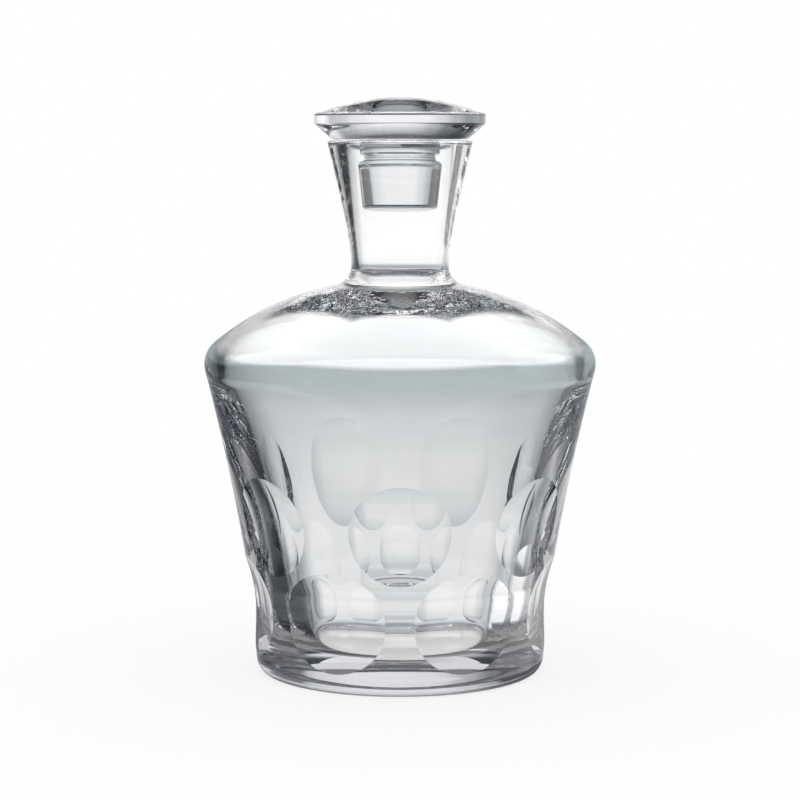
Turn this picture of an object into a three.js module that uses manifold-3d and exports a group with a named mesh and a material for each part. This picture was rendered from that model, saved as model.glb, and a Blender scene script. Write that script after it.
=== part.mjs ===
// Whisky decanter of thick clear crystal with a loose stopper.
// Two pieces: the blown and cut body with its neck, and the solid stopper.
// Millimetres, +Z up, origin in the middle of the underside.

import * as THREE from 'three';
import { mergeVertices } from 'three/addons/utils/BufferGeometryUtils.js';
import Module from 'manifold-3d';

const { degToRad, radToDeg } = THREE.MathUtils;

// Body, outside, from the table up
const restRadius = 49;          // outer edge of the ground ring that it stands on
const puntRadius = 38;            // hollow inside that ring
const puntDepth = 1.2;
const footRadius = 52.9;          // where the rounded bottom edge ends
const footHeight = 7;
const heelRadius = 54.2;          // where the upright foot turns into the slanting wall
const heelHeight = 29;
const heelBlend = 7;              // length of that turn, each way from the heel
const shoulderRadius = 71;      // widest point
const shoulderHeight = 112.5;
const shoulderCorner = 10;
const wallHollow = 0.9;           // how far the slanting wall curves inwards halfway up
const domeRadius = 102;           // long curve of the shoulder, seen in section
const domeTurn = 51;            // degrees above the horizontal where it meets the corner

// Neck, outside
const neckRadius = 17.75;
const neckHeight = 149.1;           // height of its narrowest point
const neckFoot = 7;               // fillet into the shoulder
const neckFlareShare = 0.25;      // radius gained for each millimetre of height
const neckBend = 2.6;             // how slowly the flare sets in
const mouthHeight = 192.9;
const mouthEdge = 0.9;            // rounding of the rim, outside and inside

// Inside of the body
const cavityTopHeight = 107.5;    // the wall's inner face starts here, below the shoulder
const cavityFootHeight = 34;      // and ends here, where the bowl begins
const shoulderGlass = 5.8;        // thickness of the wall at its top, at each third of the way, and at its foot
const upperGlass = 10.1;
const lowerGlass = 12.8;
const footGlass = 13.2;
const shoulderReach = 10.1;       // how far the slant carries on before it rolls in under the shoulder
const ringRadius = 45;            // where the nearly flat ceiling ends
const ceilingGlass = 2.8;         // glass above that ring
const ceilingRound = 2;
const ceilingRise = 2;            // the ceiling is this much higher at the bore
const throatCorner = 6;           // rounding where the bore opens into the cavity
const boreRadius = 14.2;          // just above that rounding
const boreFlareShare = 0.107;     // radius gained for each millimetre of height
const bowlRadius = 41;            // how full the turn from wall to floor is
const floorHeight = 11;
const floorRadius = 37;
const floorCrown = 0.6;           // the floor is a little higher in the middle

// Stopper
const plugBottomHeight = 169.8;
const plugTopHeight = 185.5;
const plugClearance = 4;          // the plug hangs free in the bore, with the same taper
const plugEdge = 1.3;
const plugRoll = 1.6;             // rounding at the top of the plug
const grooveHeight = 189.2;       // groove between the plug and the collar
const grooveRadius = 12.9;
const collarRadius = 14.5;
const headLift = 0.3;             // the head rests on the rim of the neck, with this clearance
const soleRadius = 24.6;          // flat part of the head's underside
const soleEdge = 1;
const undercut = 5.2;             // height of the slanting underside
const undercutRadius = 30.4;
const headRadius = 31;
const rimLength = 4.4;            // upright band round the head, with its small bevels
const rimEdge = 0.6;
const crownRadius = 29.4;
const crownHeight = 5.8;

// Cuts: grinding wheels held against the wall leave the round and the oval lenses
const cutColumns = 7;
const middleCutBottom = 39.5;
const middleCutTop = 77.4;
const middleWheelRadius = 55;
const middleWheelCrown = 900;     // rounding across the wheel's edge
const lowerCutBottom = 7.6;
const lowerCutTop = 44.2;
const lowerWheelRadius = 39.6;
const lowerWheelCrown = 900;
const wheelWidth = 44;

// Fineness
const turnSteps = 70;
const stopperSteps = 56;
const wheelSteps = 84;
const wheelBands = 6;
const longSteps = 5;
const shortSteps = 2;

// Outlines are lists of points, each a radius and a height
const point = (radius, height) => new THREE.Vector2(radius, height);

function arc(centre, radius, from, to, steps) {
  const points = [];
  for (let i = 0; i <= steps; i++) {
    const angle = degToRad(from + (to - from) * i / steps);
    points.push(point(centre.x + radius * Math.cos(angle), centre.y + radius * Math.sin(angle)));
  }
  return points;
}

function bend(start, corner, end, steps) {
  return new THREE.QuadraticBezierCurve(start, corner, end).getPoints(steps);
}

// The long curve of the shoulder and its corner touch where their radii line up
const cornerCentre = point(shoulderRadius - shoulderCorner, shoulderHeight);
const domeCentre = point(
  cornerCentre.x - (domeRadius - shoulderCorner) * Math.cos(degToRad(domeTurn)),
  cornerCentre.y - (domeRadius - shoulderCorner) * Math.sin(degToRad(domeTurn)));
const wallSlope = Math.atan2(shoulderRadius - heelRadius, shoulderHeight - heelHeight);

function wallRadiusAt(height) {
  return heelRadius + (height - heelHeight) * Math.tan(wallSlope);
}

function footRadiusAt(height) {
  return THREE.MathUtils.mapLinear(height, footHeight, heelHeight, footRadius, heelRadius);
}

// The nearly flat ceiling of the cavity ends at a ring under the shoulder, and opens into the bore at its throat
const ring = point(ringRadius, domeCentre.y
  + Math.sqrt((domeRadius - ceilingGlass) ** 2 - (ringRadius - domeCentre.x) ** 2));
const throatHeight = ring.y + ceilingRise + throatCorner;

function boreRadiusAt(height) {
  return boreRadius + (height - throatHeight) * boreFlareShare;
}

function neckRadiusAt(height) {
  return neckRadius + Math.hypot(neckBend, (height - neckHeight) * neckFlareShare) - neckBend;
}

function outerOutline() {
  const punt = bend(point(0, puntDepth), point(puntRadius / 2, puntDepth), point(puntRadius, 0), shortSteps);
  const footCurve = new THREE.EllipseCurve(
    restRadius, footHeight, footRadius - restRadius, footHeight, -Math.PI / 2, 0);
  const heel = bend(
    point(footRadiusAt(heelHeight - heelBlend), heelHeight - heelBlend),
    point(heelRadius, heelHeight),
    point(wallRadiusAt(heelHeight + heelBlend), heelHeight + heelBlend), shortSteps);
  const corner = arc(cornerCentre, shoulderCorner, -radToDeg(wallSlope), domeTurn, longSteps);
  const wallMiddle = heel.at(-1).clone().lerp(corner[0], 1 / 2);
  wallMiddle.x -= 2 * wallHollow;
  const wall = bend(heel.at(-1), wallMiddle, corner[0], longSteps);
  // the fillet at the foot of the neck touches the shoulder and the neck
  const across = neckRadius + neckFoot - domeCentre.x;
  const up = Math.sqrt((domeRadius + neckFoot) ** 2 - across ** 2);
  const rootAngle = radToDeg(Math.atan2(up, across));
  const dome = arc(domeCentre, domeRadius, domeTurn, rootAngle, longSteps);
  const rootCurve = arc(point(domeCentre.x + across, domeCentre.y + up), neckFoot, rootAngle - 180, -180, shortSteps);
  const neckTop = mouthHeight - mouthEdge;
  const neck = [];
  for (let i = 0; i <= longSteps; i++) {
    const height = neckHeight + (neckTop - neckHeight) * i / longSteps;
    neck.push(point(neckRadiusAt(height), height));
  }
  const rim = arc(point(neck.at(-1).x - mouthEdge, neckTop), mouthEdge, 0, 90, shortSteps);
  rootCurve[0] = dome.at(-1);
  return [...punt, ...footCurve.getPoints(longSteps), ...heel, ...wall.slice(1), ...corner.slice(1),
    ...dome.slice(1), ...rootCurve.slice(1), ...neck, ...rim.slice(1)];
}

function innerOutline() {
  const lipHeight = mouthHeight - mouthEdge;
  const lip = arc(point(boreRadiusAt(lipHeight) + mouthEdge, lipHeight), mouthEdge, 90, 180, shortSteps);
  const throat = arc(point(boreRadius + throatCorner, throatHeight), throatCorner, 180, 270, shortSteps);
  const knots = [shoulderGlass, upperGlass, lowerGlass, footGlass].map((thickness, i, all) => {
    const height = THREE.MathUtils.lerp(cavityTopHeight, cavityFootHeight, i / (all.length - 1));
    return point(wallRadiusAt(height) - thickness, height);
  });
  const pull = knots[0].clone().sub(knots[1]).setLength(shoulderReach).add(knots[0]);
  const ringCurve = bend(
    point(ringRadius - ceilingRound, ring.y), ring,
    pull.clone().sub(ring).setLength(ceilingRound).add(ring), shortSteps);
  const shoulder = bend(ringCurve.at(-1), pull, knots[0], longSteps);
  const wall = new THREE.SplineCurve(knots).getPoints(longSteps + shortSteps);
  const bowl = bend(knots.at(-1), point(bowlRadius, floorHeight), point(floorRadius, floorHeight), longSteps);
  return [...lip, ...throat, ...ringCurve, ...shoulder.slice(1),
    ...wall.slice(1), ...bowl.slice(1), point(0, floorHeight + floorCrown)];
}

function stopperOutline() {
  const soleHeight = mouthHeight + headLift;
  const undercutHeight = soleHeight + undercut;
  const rimTop = undercutHeight + rimLength;
  const plugRadiusAt = (height) => boreRadiusAt(height) - plugClearance;
  const plugFoot = arc(point(plugRadiusAt(plugBottomHeight + plugEdge) - plugEdge, plugBottomHeight + plugEdge),
    plugEdge, -90, 0, shortSteps);
  const plugShoulder = arc(point(plugRadiusAt(plugTopHeight) - plugRoll, plugTopHeight), plugRoll, 0, 70, shortSteps);
  const groove = bend(
    plugShoulder.at(-1),
    point(grooveRadius, plugTopHeight + plugRoll),
    point(grooveRadius, grooveHeight), shortSteps);
  const sole = bend(
    point(soleRadius - soleEdge, soleHeight),
    point(soleRadius, soleHeight),
    point(soleRadius + soleEdge, soleHeight + soleEdge), shortSteps);
  const crownCurve = (crownRadius ** 2 + crownHeight ** 2) / (2 * crownHeight);
  const crownEdge = radToDeg(Math.acos(crownRadius / crownCurve));
  const crown = arc(
    point(0, rimTop + crownHeight - crownCurve), crownCurve, crownEdge, 90, longSteps);
  crown.at(-1).x = 0;
  return [point(0, plugBottomHeight), ...plugFoot, ...plugShoulder, ...groove.slice(1),
    point(collarRadius, grooveHeight + rimEdge), point(collarRadius, soleHeight), ...sole,
    point(undercutRadius, undercutHeight), point(headRadius, undercutHeight + rimEdge),
    point(headRadius, rimTop - rimEdge), point(headRadius - rimEdge, rimTop), ...crown];
}

function revolve(outline, steps) {
  return new THREE.LatheGeometry(outline, steps).rotateX(Math.PI / 2);
}

// Solids for cutting

const wasm = await Module();
wasm.setup();

function toSolid(geometry) {
  const bare = geometry.clone();
  bare.deleteAttribute('normal');
  bare.deleteAttribute('uv');
  const merged = mergeVertices(bare);
  const corners = [];
  for (let i = 0; i < merged.index.count; i += 3) {
    const [a, b, c] = merged.index.array.slice(i, i + 3);
    if (a !== b && b !== c && c !== a) corners.push(a, b, c);
  }
  return new wasm.Manifold(new wasm.Mesh({
    numProp: 3,
    vertProperties: merged.attributes.position.array,
    triVerts: new Uint32Array(corners),
  }));
}

function toGeometry(solid) {
  const mesh = solid.getMesh();
  const geometry = new THREE.BufferGeometry();
  geometry.setAttribute('position', new THREE.BufferAttribute(mesh.vertProperties, 3));
  geometry.setIndex(new THREE.BufferAttribute(mesh.triVerts, 1));
  geometry.computeVertexNormals();
  return geometry;
}

// A grinding wheel with its axle level, placed so that its edge enters the wall at two heights
function wheel(wheelRadius, crown, bottom, top) {
  const outline = [point(0, -wheelWidth / 2)];
  for (let i = 0; i <= wheelBands; i++) {
    const across = wheelWidth * (i / wheelBands - 1 / 2);
    outline.push(point(wheelRadius - crown + Math.sqrt(crown ** 2 - across ** 2), across));
  }
  outline.push(point(0, wheelWidth / 2));
  const middle = bottom.clone().lerp(top, 1 / 2);
  const chord = top.clone().sub(bottom);
  const away = Math.sqrt(wheelRadius ** 2 - chord.lengthSq() / 4);
  const centre = point(chord.y, -chord.x).setLength(away).add(middle);
  return new THREE.LatheGeometry(outline, wheelSteps).translate(centre.x, 0, centre.y);
}

function cutRow(body, tool, columns, offset) {
  let cut = body;
  for (let i = 0; i < columns; i++) {
    const turn = -Math.PI / 2 + 2 * Math.PI * (i + offset) / columns;
    cut = cut.subtract(toSolid(tool.clone().rotateZ(turn)));
  }
  return cut;
}

function makeBody() {
  const blank = toSolid(revolve([...outerOutline(), ...innerOutline()], turnSteps));
  const middleWheel = wheel(middleWheelRadius, middleWheelCrown,
    point(wallRadiusAt(middleCutBottom), middleCutBottom),
    point(wallRadiusAt(middleCutTop), middleCutTop));
  const lowerWheel = wheel(lowerWheelRadius, lowerWheelCrown,
    point(footRadiusAt(lowerCutBottom), lowerCutBottom),
    point(wallRadiusAt(lowerCutTop), lowerCutTop));
  const withMiddleRow = cutRow(blank, middleWheel, cutColumns, 0);
  return toGeometry(cutRow(withMiddleRow, lowerWheel, cutColumns, 1 / 2));
}

function glass(color) {
  return new THREE.MeshStandardMaterial({
    color, roughness: 0.02, metalness: 0, transparent: true, opacity: 0.35 });
}

const decanter = new THREE.Group();

const body = new THREE.Mesh(makeBody(), glass(0xe2e8e8));
body.name = 'decanter_body';
decanter.add(body);

const stopper = new THREE.Mesh(revolve(stopperOutline(), stopperSteps), glass(0xdde4e5));
stopper.name = 'stopper';
decanter.add(stopper);

export default decanter;
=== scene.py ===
# Whisky decanter: a cut crystal body with its loose stopper, on a pale studio floor
import math

import bpy
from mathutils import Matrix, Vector


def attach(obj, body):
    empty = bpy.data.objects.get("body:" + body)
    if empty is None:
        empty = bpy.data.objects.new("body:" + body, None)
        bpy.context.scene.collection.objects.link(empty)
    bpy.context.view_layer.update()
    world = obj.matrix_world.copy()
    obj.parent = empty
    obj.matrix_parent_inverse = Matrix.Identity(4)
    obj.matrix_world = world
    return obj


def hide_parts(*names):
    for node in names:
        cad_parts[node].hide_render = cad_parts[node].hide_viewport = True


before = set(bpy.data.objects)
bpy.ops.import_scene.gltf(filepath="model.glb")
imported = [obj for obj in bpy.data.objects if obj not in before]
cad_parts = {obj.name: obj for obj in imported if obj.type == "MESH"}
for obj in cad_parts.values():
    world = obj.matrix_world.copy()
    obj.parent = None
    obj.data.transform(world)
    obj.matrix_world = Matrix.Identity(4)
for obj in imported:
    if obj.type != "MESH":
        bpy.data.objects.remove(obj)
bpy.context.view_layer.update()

mm = 0.001  # every size below is in millimetres, the scene is in metres


# camera at the photograph's place

cameraSettings = {
    "distance": 870,   # from the decanter's axis
    "eyeHeight": 189.5,
    "tilt": 5.947,     # degrees down
    "lens": 108,
    "sensor": 36,
    "nearest": 20,     # nothing closer than this is drawn
}


def setCamera(s):
    bpy.ops.object.camera_add(
        location=(0, -s["distance"] * mm, s["eyeHeight"] * mm),
        rotation=(math.radians(90 - s["tilt"]), 0, 0),
    )
    camera = bpy.context.object
    camera.name = "tableCamera"
    camera.data.lens = s["lens"]
    camera.data.sensor_width = s["sensor"]
    camera.data.clip_start = s["nearest"] * mm
    bpy.context.scene.camera = camera


setCamera(cameraSettings)
bpy.context.scene.view_settings.view_transform = "Standard"

# light is thrown to and fro inside the thick wall, so it is followed further than usual
bounceSettings = {"max_bounces": 40, "glossy_bounces": 32, "transmission_bounces": 24}

for limit, bounces in bounceSettings.items():
    setattr(bpy.context.scene.cycles, limit, bounces)
print("camera set")


# drawing an outline in the XZ plane and turning it round the upright axis

mergeDistance = 0.003  # points closer than this are one
smoothAngle = 11       # edges sharper than this, in degrees, stay crisp


def spot(radius, height):
    return Vector((radius, 0, height))


def arcPath(centre, radius, startAngle, endAngle, steps):
    path = []
    for i in range(steps + 1):
        angle = math.radians(startAngle + (endAngle - startAngle) * i / steps)
        path.append(centre + radius * Vector((math.cos(angle), 0, math.sin(angle))))
    return path


def bendPath(start, corner, end, steps):
    path = []
    for i in range(steps + 1):
        t = i / steps
        path.append(start * (1 - t) ** 2 + corner * 2 * t * (1 - t) + end * t * t)
    return path


def smoothPath(knots, steps):
    # a smooth curve through all the knots
    path = []
    last = len(knots) - 1
    for i in range(steps + 1):
        k = min(last * i // steps, last - 1)
        t = last * i / steps - k
        before, here, there, after = knots[max(k - 1, 0)], knots[k], knots[k + 1], knots[min(k + 2, last)]
        leave, arrive = (there - before) / 2, (after - here) / 2
        path.append(
            (2 * here - 2 * there + leave + arrive) * t ** 3
            + (3 * there - 3 * here - 2 * leave - arrive) * t ** 2
            + leave * t + here
        )
    return path


def activate(piece):
    bpy.ops.object.select_all(action="DESELECT")
    piece.select_set(True)
    bpy.context.view_layer.objects.active = piece


def turnOutline(name, outline, steps):
    bpy.ops.object.select_all(action="DESELECT")
    bpy.ops.mesh.primitive_plane_add(size=mm)
    piece = bpy.context.object
    piece.name = name
    piece.data.name = name
    bpy.ops.object.mode_set(mode="EDIT")
    bpy.ops.mesh.select_all(action="SELECT")
    bpy.ops.mesh.merge(type="CENTER")  # the plane shrinks to the outline's first point
    bpy.ops.transform.translate(value=outline[0] * mm)
    for here, there in zip(outline, outline[1:]):
        bpy.ops.mesh.extrude_vertices_move(TRANSFORM_OT_translate={"value": (there - here) * mm})
    bpy.ops.mesh.select_all(action="SELECT")
    bpy.ops.mesh.spin(steps=steps, angle=2 * math.pi, center=(0, 0, 0), axis=(0, 0, 1))
    bpy.ops.mesh.select_all(action="SELECT")
    bpy.ops.mesh.remove_doubles(threshold=mergeDistance * mm)
    bpy.ops.mesh.normals_make_consistent(inside=False)
    bpy.ops.object.mode_set(mode="OBJECT")
    return piece


# decanter body, blown and turned before it is cut

bodySettings = {
    "restRadius": 49, "puntRadius": 38, "puntDepth": 1.2,
    "footRadius": 52.9, "footHeight": 7,
    "heelRadius": 54.2, "heelHeight": 29, "heelBlend": 7,
    "shoulderRadius": 71, "shoulderHeight": 112.5, "shoulderCorner": 10,
    "wallHollow": 0.9,
    "domeRadius": 102, "domeTurn": 51,
    "neckRadius": 17.75, "neckHeight": 149.1, "neckFoot": 7, "neckFlare": 0.25, "neckBend": 2.6,
    "mouthHeight": 192.9, "mouthEdge": 0.9,
    "boreRadius": 14.2, "boreFlare": 0.107,  # a straight taper, widest at the mouth
    "throatCorner": 6, "ceilingRise": 2, "ceilingGlass": 2.8,
    "ringRadius": 45, "ceilingRound": 2,  # where the ceiling turns down into the shoulder
    "shoulderReach": 10.1,
    "cavityTop": 107.5, "cavityFoot": 34,
    "wallGlass": (5.8, 10.1, 12.8, 13.2),  # thickness of the wall from the top of the cavity to its foot
    "bowlRadius": 41, "floorRadius": 37, "floorHeight": 11, "floorCrown": 0.6,
    "longSteps": 16, "edgeSteps": 14, "turnSteps": 210,
}


def domeCentre(s):
    reach = s["domeRadius"] - s["shoulderCorner"]
    turn = math.radians(s["domeTurn"])
    return spot(
        s["shoulderRadius"] - s["shoulderCorner"] - reach * math.cos(turn),
        s["shoulderHeight"] - reach * math.sin(turn),
    )


def wallRadius(s, height):
    if height < s["heelHeight"]:
        share = (height - s["footHeight"]) / (s["heelHeight"] - s["footHeight"])
        return s["footRadius"] + (s["heelRadius"] - s["footRadius"]) * share
    share = (height - s["heelHeight"]) / (s["shoulderHeight"] - s["heelHeight"])
    return s["heelRadius"] + (s["shoulderRadius"] - s["heelRadius"]) * share


def bodyOutside(s):
    corner = spot(s["shoulderRadius"] - s["shoulderCorner"], s["shoulderHeight"])
    slope = math.degrees(math.atan2(
        s["shoulderRadius"] - s["heelRadius"],
        s["shoulderHeight"] - s["heelHeight"],
    ))
    longSteps, edgeSteps = s["longSteps"], s["edgeSteps"]
    punt = bendPath(
        spot(0, s["puntDepth"]),
        spot(s["puntRadius"] / 2, s["puntDepth"]),
        spot(s["puntRadius"], 0),
        edgeSteps,
    )
    foot = []
    for i in range(longSteps + 1):
        angle = math.pi / 2 * (i / longSteps - 1)
        foot.append(spot(
            s["restRadius"] + (s["footRadius"] - s["restRadius"]) * math.cos(angle),
            s["footHeight"] * (1 + math.sin(angle)),
        ))
    low, high = s["heelHeight"] - s["heelBlend"], s["heelHeight"] + s["heelBlend"]
    heel = bendPath(
        spot(wallRadius(s, low), low),
        spot(s["heelRadius"], s["heelHeight"]),
        spot(wallRadius(s, high), high),
        edgeSteps,
    )
    shoulder = arcPath(corner, s["shoulderCorner"], -slope, s["domeTurn"], longSteps)
    middle = (heel[-1] + shoulder[0]) / 2 - spot(2 * s["wallHollow"], 0)
    wall = bendPath(heel[-1], middle, shoulder[0], 2 * longSteps)
    # the neck's root is an arc that touches both the dome and the neck
    centre = domeCentre(s)
    across = s["neckRadius"] + s["neckFoot"] - centre.x
    up = math.sqrt((s["domeRadius"] + s["neckFoot"]) ** 2 - across ** 2)
    rootAngle = math.degrees(math.atan2(up, across))
    dome = arcPath(centre, s["domeRadius"], s["domeTurn"], rootAngle, 2 * longSteps)
    root = arcPath(centre + spot(across, up), s["neckFoot"], rootAngle - 180, -180, edgeSteps)
    neckTop = s["mouthHeight"] - s["mouthEdge"]
    neck = []
    for i in range(2 * longSteps + 1):
        height = s["neckHeight"] + (neckTop - s["neckHeight"]) * i / (2 * longSteps)
        flare = math.hypot(s["neckBend"], (height - s["neckHeight"]) * s["neckFlare"]) - s["neckBend"]
        neck.append(spot(s["neckRadius"] + flare, height))
    rim = arcPath(neck[-1] - spot(s["mouthEdge"], 0), s["mouthEdge"], 0, 90, edgeSteps)
    return punt + foot + heel + wall[1:] + shoulder[1:] + dome[1:] + root[1:] + neck + rim[1:]


def ceilingRing(s):
    # where the ceiling of the cavity meets its shoulder
    centre, ceiling = domeCentre(s), s["domeRadius"] - s["ceilingGlass"]
    return spot(s["ringRadius"], centre.z + math.sqrt(ceiling ** 2 - (s["ringRadius"] - centre.x) ** 2))


def boreRadius(s, height):
    throatHeight = ceilingRing(s).z + s["ceilingRise"] + s["throatCorner"]
    return s["boreRadius"] + (height - throatHeight) * s["boreFlare"]


def bodyInside(s):
    longSteps, edgeSteps = s["longSteps"], s["edgeSteps"]
    lipHeight = s["mouthHeight"] - s["mouthEdge"]
    lipCentre = spot(boreRadius(s, lipHeight) + s["mouthEdge"], lipHeight)
    lip = arcPath(lipCentre, s["mouthEdge"], 90, 180, edgeSteps)
    ring, corner = ceilingRing(s), s["throatCorner"]
    throatCentre = spot(s["boreRadius"] + corner, ring.z + s["ceilingRise"] + corner)
    throat = arcPath(throatCentre, corner, 180, 270, edgeSteps)
    knots = []
    for i, glass in enumerate(s["wallGlass"]):
        height = s["cavityTop"] + (s["cavityFoot"] - s["cavityTop"]) * i / (len(s["wallGlass"]) - 1)
        knots.append(spot(wallRadius(s, height) - glass, height))
    pull = knots[0] + (knots[0] - knots[1]).normalized() * s["shoulderReach"]
    roll = bendPath(
        ring - spot(s["ceilingRound"], 0),
        ring,
        ring + (pull - ring).normalized() * s["ceilingRound"],
        edgeSteps,
    )
    shoulder = bendPath(roll[-1], pull, knots[0], 2 * longSteps)
    wall = smoothPath(knots, 3 * longSteps)
    bowl = bendPath(
        knots[-1],
        spot(s["bowlRadius"], s["floorHeight"]),
        spot(s["floorRadius"], s["floorHeight"]),
        2 * longSteps,
    )
    floor = spot(0, s["floorHeight"] + s["floorCrown"])
    return lip + throat + roll + shoulder[1:] + wall[1:] + bowl[1:] + [floor]


# round lenses ground into the wall, seven in each row

cutSettings = {
    "columns": 7,
    "middle": {"bottom": 39.5, "top": 77.4, "wheelRadius": 55, "crown": 900},
    "lower": {"bottom": 7.6, "top": 44.2, "wheelRadius": 39.6, "crown": 900},
    "wheelWidth": 44, "crownSteps": 24, "wheelSteps": 360,
}


def makeWheels(name, s, cut, side):
    # one grinding wheel with a level axle and a slightly crowned edge
    width, crown = s["wheelWidth"], cut["crown"]
    outline = [spot(0, -width / 2)]
    for i in range(s["crownSteps"] + 1):
        along = width * (i / s["crownSteps"] - 0.5)
        outline.append(spot(cut["wheelRadius"] - crown + math.sqrt(crown ** 2 - along ** 2), along))
    outline.append(spot(0, width / 2))
    wheel = turnOutline(name, outline, s["wheelSteps"])

    # its edge goes through the wall at the two heights
    lowEnd = spot(wallRadius(bodySettings, cut["bottom"]), cut["bottom"])
    highEnd = spot(wallRadius(bodySettings, cut["top"]), cut["top"])
    chord = highEnd - lowEnd
    away = math.sqrt(cut["wheelRadius"] ** 2 - chord.length_squared / 4)
    centre = (lowEnd + highEnd) / 2 + spot(chord.z, -chord.x).normalized() * away

    activate(wheel)
    bpy.ops.object.mode_set(mode="EDIT")
    bpy.ops.mesh.select_all(action="SELECT")
    bpy.ops.transform.rotate(value=math.pi / 2, orient_axis="Y", center_override=(0, 0, 0))
    bpy.ops.transform.translate(value=(0, side * centre.x * mm, centre.z * mm))
    columns = s["columns"]  # then it is copied round the decanter
    bpy.ops.mesh.spin(
        steps=columns - 1, dupli=True, angle=2 * math.pi * (columns - 1) / columns,
        center=(0, 0, 0), axis=(0, 0, 1),
    )
    bpy.ops.object.mode_set(mode="OBJECT")
    return wheel


def grindAway(piece, tool):
    activate(piece)
    bpy.ops.object.modifier_add(type="BOOLEAN")
    modifier = piece.modifiers[-1]
    modifier.operation = "DIFFERENCE"
    modifier.solver = "MANIFOLD"
    modifier.object = tool
    bpy.ops.object.modifier_apply(modifier=modifier.name)
    bpy.data.objects.remove(tool)


def makeBody(s):
    body = turnOutline("decanter_crystal", bodyOutside(s) + bodyInside(s), s["turnSteps"])
    print("body turned,", len(body.data.polygons), "faces")
    # one lens of the middle row faces the front, and the lower row sits half a lens round
    for row, side in (("middle", -1), ("lower", 1)):
        grindAway(body, makeWheels(row + "Wheels", cutSettings, cutSettings[row], side))
    activate(body)
    bpy.ops.object.shade_smooth_by_angle(angle=math.radians(smoothAngle))
    body.data.materials.clear()
    print("lenses ground,", len(body.data.polygons), "faces")
    return body


# stopper: tapered plug, groove, collar and a wide domed head

stopperSettings = {
    "plugBottomHeight": 169.8, "plugTopHeight": 185.5, "plugEdge": 1.3, "plugRoll": 1.6, "plugRollAngle": 70,
    "plugClearance": 4,  # the plug hangs free in the bore, with the same taper
    "grooveHeight": 189.2, "grooveRadius": 12.9,
    "collarRadius": 14.5,
    "soleHeight": 193.2, "soleRadius": 24.6, "soleEdge": 1,
    "undercut": 5.2, "undercutRadius": 30.4,
    "headRadius": 31, "rimLength": 4.4, "rimEdge": 0.6,
    "crownRadius": 29.4, "crownHeight": 5.8,
    "longSteps": 24, "edgeSteps": 12, "turnSteps": 180,
}


def stopperOutline(s):
    longSteps, edgeSteps = s["longSteps"], s["edgeSteps"]
    edge, roll = s["plugEdge"], s["plugRoll"]
    lowRadius, topRadius = (
        boreRadius(bodySettings, height) - s["plugClearance"]
        for height in (s["plugBottomHeight"] + edge, s["plugTopHeight"])
    )
    plugFoot = arcPath(spot(lowRadius - edge, s["plugBottomHeight"] + edge), edge, -90, 0, edgeSteps)
    plugShoulder = arcPath(spot(topRadius - roll, s["plugTopHeight"]), roll, 0, s["plugRollAngle"], edgeSteps)
    groove = bendPath(
        plugShoulder[-1],
        spot(s["grooveRadius"], s["plugTopHeight"] + roll),
        spot(s["grooveRadius"], s["grooveHeight"]),
        edgeSteps,
    )
    collar = [
        spot(s["collarRadius"], s["grooveHeight"] + s["rimEdge"]),
        spot(s["collarRadius"], s["soleHeight"]),
    ]
    sole = bendPath(
        spot(s["soleRadius"] - s["soleEdge"], s["soleHeight"]),
        spot(s["soleRadius"], s["soleHeight"]),
        spot(s["soleRadius"] + s["soleEdge"], s["soleHeight"] + s["soleEdge"]),
        edgeSteps,
    )
    headBottom = s["soleHeight"] + s["undercut"]
    headTop = headBottom + s["rimLength"]
    rim = [
        spot(s["undercutRadius"], headBottom),
        spot(s["headRadius"], headBottom + s["rimEdge"]),
        spot(s["headRadius"], headTop - s["rimEdge"]),
        spot(s["headRadius"] - s["rimEdge"], headTop),
    ]
    ball = (s["crownRadius"] ** 2 + s["crownHeight"] ** 2) / (2 * s["crownHeight"])
    crown = arcPath(
        spot(0, headTop + s["crownHeight"] - ball), ball,
        math.degrees(math.acos(s["crownRadius"] / ball)), 90, longSteps,
    )
    crown[-1].x = 0  # the dome closes exactly on the axis
    plug = [spot(0, s["plugBottomHeight"])] + plugFoot + plugShoulder + groove[1:] + collar
    return plug + sole + rim + crown


def makeStopper(s):
    stopper = turnOutline("stopper_crystal", stopperOutline(s), s["turnSteps"])
    activate(stopper)
    bpy.ops.object.shade_smooth_by_angle(angle=math.radians(smoothAngle))
    print("stopper turned,", len(stopper.data.polygons), "faces")
    return stopper


# small helpers for the shader nodes

plain = (1, 1, 1)


def grey(level):
    return (level, level, level, 1)


def addNode(tree, kind, **settings):
    node = tree.nodes.new(kind)
    for key, value in settings.items():
        setattr(node, key, value)
    return node


def addMath(tree, operation, first, second=None, third=None):
    node = addNode(tree, "ShaderNodeMath", operation=operation)
    for slot, value in enumerate((first, second, third)):
        if isinstance(value, bpy.types.NodeSocket):
            tree.links.new(value, node.inputs[slot])
        elif value is not None:
            node.inputs[slot].default_value = value
    return node.outputs[0]


def addRange(tree, value, low, high):
    # 0 at low and 1 at high, with a smooth step between
    node = addNode(tree, "ShaderNodeMapRange", interpolation_type="SMOOTHSTEP")
    node.inputs["From Min"].default_value = low
    node.inputs["From Max"].default_value = high
    tree.links.new(value, node.inputs["Value"])
    return node.outputs["Result"]


def addAngleRange(tree, value, low, high):
    # the same for an angle, its ends in degrees
    return addRange(tree, value, math.radians(low), math.radians(high))


def addBand(tree, value, ends, soft):
    # 1 between two directions in degrees, with soft edges
    low, high = ends
    return addMath(
        tree, "MULTIPLY",
        addAngleRange(tree, value, low - soft, low + soft),
        addAngleRange(tree, value, high + soft, high - soft),
    )


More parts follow.
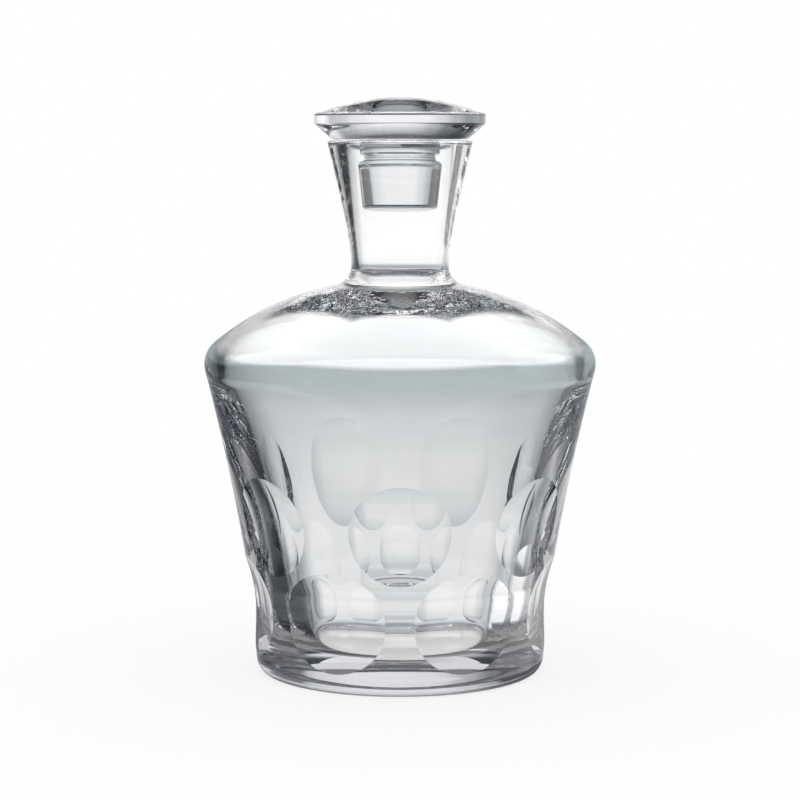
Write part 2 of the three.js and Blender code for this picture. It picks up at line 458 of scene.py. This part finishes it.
def addRamp(tree, value, unit, stops, shade):
    # brightness along a list of marks, the dark ones in the given shade
    first, last = stops[0][0], stops[-1][0]
    share = addMath(tree, "MULTIPLY_ADD", value, unit / (last - first), -first / (last - first))
    ramp = addNode(tree, "ShaderNodeValToRGB")
    ramp.color_ramp.interpolation = "EASE"
    marks = ramp.color_ramp.elements
    marks.remove(marks[0])
    for i, (place, level) in enumerate(stops):
        position = (place - first) / (last - first)
        mark = marks[0] if i == 0 else marks.new(position)
        mark.position = position
        dark = max(1 - level, 0) ** 2
        mark.color = [level * (1 - dark * (1 - tint)) for tint in shade] + [1]
    tree.links.new(share, ramp.inputs["Fac"])
    return ramp.outputs["Color"]


def addAngleRamps(tree, turn, rise, turnStops, riseStops, shade):
    # one list of marks round the horizon times another from straight down to straight up, in degrees
    unit = math.degrees(1)
    return addMix(
        tree, "MULTIPLY", 1,
        addRamp(tree, turn, unit, turnStops, shade),
        addRamp(tree, rise, unit, riseStops, shade),
    )


def addMix(tree, blend, share, first, second):
    # inputs 0, 6 and 7 of the node are its factor and two colours, and output 2 is the colour
    mix = addNode(tree, "ShaderNodeMix", data_type="RGBA", blend_type=blend)
    for slot, value in ((0, share), (6, first), (7, second)):
        if isinstance(value, bpy.types.NodeSocket):
            tree.links.new(value, mix.inputs[slot])
        else:
            mix.inputs[slot].default_value = value
    return mix.outputs[2]


def seenThroughGlass(tree):
    path = addNode(tree, "ShaderNodeLightPath")
    return addMath(tree, "MAXIMUM", path.outputs["Is Glossy Ray"], path.outputs["Is Transmission Ray"])


# crystal

glassSettings = {
    "color": (0.995, 0.997, 0.997, 1),
    "ior": 1.545,
    "depthColor": (0.84, 0.84, 0.862, 1),  # faint grey where the light goes a long way through
    "depth": 20,
    # the inside of the body is a little uneven from blowing, most of all under the neck
    "middle": 75,  # a face that looks towards this height on the axis is an inner one
    "waveScale": 200, "waveDetail": 1.5, "waveHeight": 0.3,
    "waves": [(100, 0.015), (126, 0.1), (131, 1), (134, 1), (139, 0)],
}


def addWaves(tree, s):
    place = addNode(tree, "ShaderNodeTexCoord").outputs["Object"]
    face = addNode(tree, "ShaderNodeNewGeometry")
    toMiddle = addNode(tree, "ShaderNodeVectorMath", operation="SUBTRACT")
    tree.links.new(place, toMiddle.inputs[0])
    toMiddle.inputs[1].default_value = (0, 0, s["middle"] * mm)
    facing = addNode(tree, "ShaderNodeVectorMath", operation="DOT_PRODUCT")
    tree.links.new(toMiddle.outputs[0], facing.inputs[0])
    tree.links.new(face.outputs["True Normal"], facing.inputs[1])
    # the normal faces the ray, so it counts as -1 outside the glass and 1 within
    side = addMath(tree, "MULTIPLY_ADD", face.outputs["Backfacing"], 2, -1)
    inner = addMath(tree, "GREATER_THAN", addMath(tree, "MULTIPLY", facing.outputs["Value"], side), 0)
    split = addNode(tree, "ShaderNodeSeparateXYZ")
    tree.links.new(place, split.inputs[0])
    share = addRamp(tree, split.outputs["Z"], 1 / mm, s["waves"], plain)
    noise = addNode(tree, "ShaderNodeTexNoise")
    tree.links.new(place, noise.inputs["Vector"])
    noise.inputs["Scale"].default_value = s["waveScale"]
    noise.inputs["Detail"].default_value = s["waveDetail"]
    bump = addNode(tree, "ShaderNodeBump")
    bump.inputs["Distance"].default_value = s["waveHeight"] * mm
    tree.links.new(addMath(tree, "MULTIPLY", inner, share), bump.inputs["Strength"])
    tree.links.new(noise.outputs[0], bump.inputs["Height"])
    return bump.outputs["Normal"]


def makeGlass(name, s):
    material = bpy.data.materials.new(name)
    material.use_nodes = True
    tree = material.node_tree
    shader = tree.nodes["Principled BSDF"]
    shader.inputs["Base Color"].default_value = s["color"]
    shader.inputs["Roughness"].default_value = 0
    shader.inputs["IOR"].default_value = s["ior"]
    shader.inputs["Transmission Weight"].default_value = 1
    tree.links.new(addWaves(tree, s), shader.inputs["Normal"])
    # a softbox mirrored in the shoulder isn't broken up by the neck in front of it
    path = addNode(tree, "ShaderNodeLightPath")
    mirrored = addMath(tree, "GREATER_THAN", path.outputs["Glossy Depth"], 0.5)
    outside = addMath(tree, "LESS_THAN", path.outputs["Transmission Depth"], 0.5)
    seen = addMath(tree, "SUBTRACT", 1, addMath(tree, "MULTIPLY", mirrored, outside))
    tree.links.new(seen, shader.inputs["Alpha"])
    depth = addNode(tree, "ShaderNodeVolumeAbsorption")
    depth.inputs["Color"].default_value = s["depthColor"]
    depth.inputs["Density"].default_value = s["depth"]
    tree.links.new(depth.outputs[0], tree.nodes["Material Output"].inputs["Volume"])
    return material


body = makeBody(bodySettings)
stopper = makeStopper(stopperSettings)
body.data.materials.append(makeGlass("bodyCrystal", glassSettings))
stopper.data.materials.append(makeGlass("stopperCrystal", glassSettings))

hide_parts("decanter_body")
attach(body, "decanter")
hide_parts("stopper")
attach(stopper, "stopper")
print("pieces ride on the frame")


# pale floor, a grey film of painted shade round the decanter, and a white studio with grey flags beside the
# backdrop

floorSettings = {
    "size": 4000, "color": (1, 1, 1, 1),
    "glow": 0.78,     # share of the floor that stays white in the shadow
    "glassSees": 56,  # the glass sees the floor this far out, and the studio beyond it
    "farther": 40,    # and this much farther by way of two or three reflections in the foot
    "fade": 4,
    # painted shadow: the glow of the floor that the glass sees has a brightness by distance from the axis, dim
    # where the foot stands
    "under": [(0, 0.9), (36, 0.9), (39, 0.3), (56, 0.3), (60, 0.95), (100, 0.95)],
    "mirrored": 0.4,  # painted shade: the same glow, times this where it is seen by way of one reflection
}

shadeFilmSettings = {
    # painted shade: a grey film round the decanter that only the glass sees, which darkens what the glass shows
    # by height, darkest level with the shoulder
    "radius": 100, "height": 150, "turnSteps": 120,
    "levels": [
        (0, 0.93), (36, 0.93), (50, 0.88), (62, 0.8), (75, 0.66),
        (95, 0.59), (112, 0.52), (127, 0.5), (142, 1), (150, 1),
    ],
    "shade": (0.5, 1, 1.08),
}

studioSettings = {
    # what the glass sees, in degrees from the backdrop with a brightness: grey flags stand left and right
    "horizon": [
        (-180, 0.65), (-120, 0.7), (-100, 0.7), (-88, 0.4), (-75, 0.26), (-60, 0.24), (-42, 0.24),
        (-30, 0.5), (-20, 0.8), (-12, 1), (0, 1.02), (12, 1.02), (22, 0.9), (32, 0.68), (42, 0.64),
        (50, 1), (80, 1), (100, 0.9), (120, 0.8), (180, 0.65),
    ],
    # the same from straight down to straight up: the backdrop ends at 19 degrees
    "heights": [
        (-90, 0.85), (-44, 0.85), (-37, 0.7), (-31, 0.58), (-26, 0.6), (-20, 0.76), (-14, 0.85), (-4, 0.92),
        (3, 1), (17, 1), (22, 0.07), (36, 0.07), (46, 0.32), (90, 0.4),
    ],
    # flags on both sides and a window on the right in front of that
    "cards": [
        {"turn": (-80, -33), "rise": (3, 28), "level": 0.1},
        {"turn": (31, 56), "rise": (4, 21), "level": 0.24},
        {"turn": (51, 97), "rise": (-26, 5), "level": 1.4},
        {"turn": (60, 97), "rise": (4, 34), "level": 1.05},
    ],
    "cardSoft": 2.5,
    # how much of it is left after a reflection inside the wall
    "horizonInside": [
        (-180, 0.8), (-100, 0.6), (-85, 0.5), (-30, 0.45), (-18, 0.7), (-8, 0.95), (0, 1), (180, 1),
    ],
    "heightsInside": [(-90, 0.25), (-31, 0.25), (-24, 0.7), (-12, 0.85), (-3, 1), (90, 1)],
    # what is seen after two or three
    "horizonTwice": [
        (-180, 0.6), (-140, 0.5), (-110, 0.15), (-75, 0.1), (-45, 0.3), (-14, 0.9), (0, 1),
        (14, 0.9), (45, 0.5), (75, 0.25), (110, 0.15), (140, 0.5), (180, 0.6),
    ],
    "heightsTwice": [
        (-90, 0.6), (-50, 1), (-36, 1), (-30, 0.3), (-15, 0.12), (-6, 0.2), (0, 0.32), (14, 0.32),
        (22, 0.4), (30, 0.5), (45, 0.35), (90, 0.5),
    ],
    # after several reflections only broken light from the room is left
    "brokenAfter": 3.5, "brokenScale": 5, "brokenDetail": 3,
    "broken": [(0.44, 0), (0.51, 0.06), (0.55, 0.6), (0.59, 2)],
    "gain": 1.14,
    "shade": (0.72, 0.96, 1.08),  # the greys lean to blue-green, white stays white
    # softboxes that only the outer surface mirrors, brighter the higher they are
    "boxLevels": [(12, 1.1), (18, 1.5), (22, 1.8), (26, 2.5), (30, 3.3), (35, 4.1), (41, 5), (50, 6.7)],
    "boxShade": (1.02, 0.99, 0.985, 1),
    "boxFrom": 55, "boxSoft": 2,        # the one overhead starts here
    "lowFrom": 42.5, "lowLean": 1.6,    # towards the sides they are as bright lower down
    # the one in front is the brightest and fades downwards
    "frontFrom": 80, "frontTo": 110, "frontBottom": 30, "frontGain": 1.42,
    # the inner edge of the side boxes leans outwards, and their lower edge climbs to the front
    "sideFrom": 7, "sideLean": 0.45, "sideTo": 18, "sideRise": 4,
    "sideEnd": 42, "sideClimb": 0.6, "sideFade": 7,
    # the dark room above the backdrop
    "backWidth": 50, "backSoft": 10, "backLevel": 0.04, "backFrom": 19, "backTo": 27,
}


def makeFloor(s):
    bpy.ops.object.select_all(action="DESELECT")
    bpy.ops.mesh.primitive_plane_add(size=s["size"] * mm)
    floor = bpy.context.object
    floor.name = "studioFloor"
    material = bpy.data.materials.new("paleFloor")
    material.use_nodes = True
    tree = material.node_tree
    shader = tree.nodes["Principled BSDF"]
    shader.inputs["Base Color"].default_value = s["color"]
    shader.inputs["Roughness"].default_value = 1
    shader.inputs["Specular IOR Level"].default_value = 0
    place = addNode(tree, "ShaderNodeTexCoord")
    length = addNode(tree, "ShaderNodeVectorMath", operation="LENGTH")
    tree.links.new(place.outputs["Object"], length.inputs[0])
    path = addNode(tree, "ShaderNodeLightPath")
    glass = seenThroughGlass(tree)
    twice = addMath(tree, "COMPARE", path.outputs["Glossy Depth"], 2.5, 1)  # two or three reflections
    reach = addMath(tree, "MULTIPLY_ADD", twice, s["farther"] * mm, s["glassSees"] * mm)
    far = addRange(tree, addMath(tree, "SUBTRACT", length.outputs["Value"], reach), 0, s["fade"] * mm)
    once = addMath(tree, "COMPARE", path.outputs["Glossy Depth"], 1, 0.1)
    # painted shadow and shade: the floor's glow that the glass sees is dimmed where the foot stands, and dimmer
    # still by way of one reflection
    under = addRamp(tree, length.outputs["Value"], 1 / mm, s["under"], plain)
    under = addMix(tree, "MULTIPLY", once, under, grey(s["mirrored"]))
    glow = addNode(tree, "ShaderNodeEmission")
    tree.links.new(addMix(tree, "MIX", glass, s["color"], under), glow.inputs["Color"])
    share = addMath(tree, "MAXIMUM", glass, addMath(tree, "MULTIPLY", path.outputs["Is Camera Ray"], s["glow"]))
    lit = addNode(tree, "ShaderNodeMixShader")
    tree.links.new(share, lit.inputs[0])
    tree.links.new(shader.outputs[0], lit.inputs[1])
    tree.links.new(glow.outputs[0], lit.inputs[2])
    clear = addNode(tree, "ShaderNodeBsdfTransparent")
    mix = addNode(tree, "ShaderNodeMixShader")
    tree.links.new(addMath(tree, "MULTIPLY", far, glass), mix.inputs[0])
    tree.links.new(lit.outputs[0], mix.inputs[1])
    tree.links.new(clear.outputs[0], mix.inputs[2])
    tree.links.new(mix.outputs[0], tree.nodes["Material Output"].inputs["Surface"])
    floor.data.materials.append(material)


def makeShadeFilm(s):
    bpy.ops.object.select_all(action="DESELECT")
    bpy.ops.mesh.primitive_cylinder_add(
        vertices=s["turnSteps"], radius=s["radius"] * mm, depth=s["height"] * mm, end_fill_type="NOTHING",
        location=(0, 0, s["height"] / 2 * mm),
    )
    bpy.ops.object.transform_apply(location=True)
    film = bpy.context.object
    film.name = "paintedShadeFilm"
    material = bpy.data.materials.new("paintedShadeFilm")
    material.use_nodes = True
    tree = material.node_tree
    tree.nodes.remove(tree.nodes["Principled BSDF"])
    place = addNode(tree, "ShaderNodeTexCoord")
    split = addNode(tree, "ShaderNodeSeparateXYZ")
    tree.links.new(place.outputs["Object"], split.inputs[0])
    # painted shade by height, in a blue-green tint, that only the glass sees
    tone = addRamp(tree, split.outputs["Z"], 1 / mm, s["levels"], s["shade"])
    clear = addNode(tree, "ShaderNodeBsdfTransparent")
    tree.links.new(addMix(tree, "MIX", seenThroughGlass(tree), grey(1), tone), clear.inputs["Color"])
    tree.links.new(clear.outputs[0], tree.nodes["Material Output"].inputs["Surface"])
    film.data.materials.append(material)


def addSoftboxes(tree, s, turn, rise, pattern):
    # what the outer surface mirrors: the dark room above the backdrop, and the softboxes in front of it
    soft = s["boxSoft"]
    across = addMath(tree, "ABSOLUTE", turn)
    overhead = addAngleRange(tree, rise, s["boxFrom"] - soft, s["boxFrom"] + soft)
    leaning = addMath(tree, "MULTIPLY_ADD", rise, s["sideLean"], math.radians(s["sideFrom"]))
    inner = addMath(tree, "MINIMUM", leaning, math.radians(s["sideTo"]))
    climb = addMath(tree, "MULTIPLY_ADD", across, -s["sideClimb"], rise)
    lowest = -s["sideClimb"] * s["sideEnd"]
    beside = addMath(
        tree, "MULTIPLY",
        addAngleRange(tree, addMath(tree, "SUBTRACT", across, inner), -soft, soft),
        addMath(
            tree, "MULTIPLY",
            addAngleRange(tree, rise, s["sideRise"] - soft, s["sideRise"] + soft),
            addAngleRange(tree, climb, lowest - s["sideFade"], lowest + s["sideFade"]),
        ),
    )
    behind = addMath(
        tree, "MULTIPLY",
        addAngleRange(tree, across, s["backWidth"] + s["backSoft"], s["backWidth"] - s["backSoft"]),
        addAngleRange(tree, rise, s["backFrom"], s["backTo"]),
    )
    front = addAngleRange(tree, across, s["frontFrom"], s["frontTo"])
    above = addMath(tree, "MULTIPLY", front, addAngleRange(tree, rise, s["frontBottom"], s["boxFrom"]))

    aside = addMath(tree, "MAXIMUM", addMath(tree, "SUBTRACT", across, math.radians(s["lowFrom"])), 0)
    lifted = addMath(tree, "MULTIPLY_ADD", aside, s["lowLean"], rise)
    level = addRamp(tree, lifted, math.degrees(1), s["boxLevels"], plain)
    level = addMix(tree, "MULTIPLY", 1, level, s["boxShade"])
    level = addMix(tree, "MULTIPLY", front, level, grey(s["frontGain"]))
    boxes = addMath(tree, "MAXIMUM", addMath(tree, "MAXIMUM", overhead, beside), above)
    return addMix(tree, "MIX", boxes, addMix(tree, "MIX", behind, pattern, grey(s["backLevel"])), level)


def makeWorld(s):
    world = bpy.data.worlds.new("studioLight")
    bpy.context.scene.world = world
    world.use_nodes = True
    tree = world.node_tree
    background = tree.nodes["Background"]
    place = addNode(tree, "ShaderNodeTexCoord")
    split = addNode(tree, "ShaderNodeSeparateXYZ")
    tree.links.new(place.outputs["Generated"], split.inputs[0])
    turn = addMath(tree, "ARCTAN2", split.outputs["X"], split.outputs["Y"])
    rise = addMath(tree, "ARCSINE", split.outputs["Z"])

    pattern = addAngleRamps(tree, turn, rise, s["horizon"], s["heights"], s["shade"])
    pattern = addMix(tree, "MULTIPLY", 1, pattern, grey(s["gain"]))
    for card in s["cards"]:
        mask = addMath(
            tree, "MULTIPLY",
            addBand(tree, turn, card["turn"], s["cardSoft"]),
            addBand(tree, rise, card["rise"], s["cardSoft"]),
        )
        pattern = addMix(tree, "MIX", mask, pattern, grey(card["level"]))

    # Glossy Depth counts the reflections inside the wall
    path = addNode(tree, "ShaderNodeLightPath")
    reflections = path.outputs["Glossy Depth"]
    kept = addAngleRamps(tree, turn, rise, s["horizonInside"], s["heightsInside"], plain)
    pattern = addMix(tree, "MULTIPLY", addMath(tree, "GREATER_THAN", reflections, 0.5), pattern, kept)
    twice = addAngleRamps(tree, turn, rise, s["horizonTwice"], s["heightsTwice"], plain)
    pattern = addMix(tree, "MIX", addMath(tree, "GREATER_THAN", reflections, 1.5), pattern, twice)
    noise = addNode(tree, "ShaderNodeTexNoise")
    tree.links.new(place.outputs["Generated"], noise.inputs["Vector"])
    noise.inputs["Scale"].default_value = s["brokenScale"]
    noise.inputs["Detail"].default_value = s["brokenDetail"]
    often = addMath(tree, "GREATER_THAN", reflections, s["brokenAfter"])
    pattern = addMix(tree, "MIX", often, pattern, addRamp(tree, noise.outputs[0], 1, s["broken"], s["shade"]))

    outer = addMath(tree, "SUBTRACT", path.outputs["Is Glossy Ray"], path.outputs["Is Transmission Ray"])
    pattern = addMix(tree, "MIX", outer, pattern, addSoftboxes(tree, s, turn, rise, pattern))
    tree.links.new(addMix(tree, "MIX", seenThroughGlass(tree), grey(1), pattern), background.inputs["Color"])
    background.inputs["Strength"].default_value = 1


makeFloor(floorSettings)
makeShadeFilm(shadeFilmSettings)
makeWorld(studioSettings)
print("floor and light set")
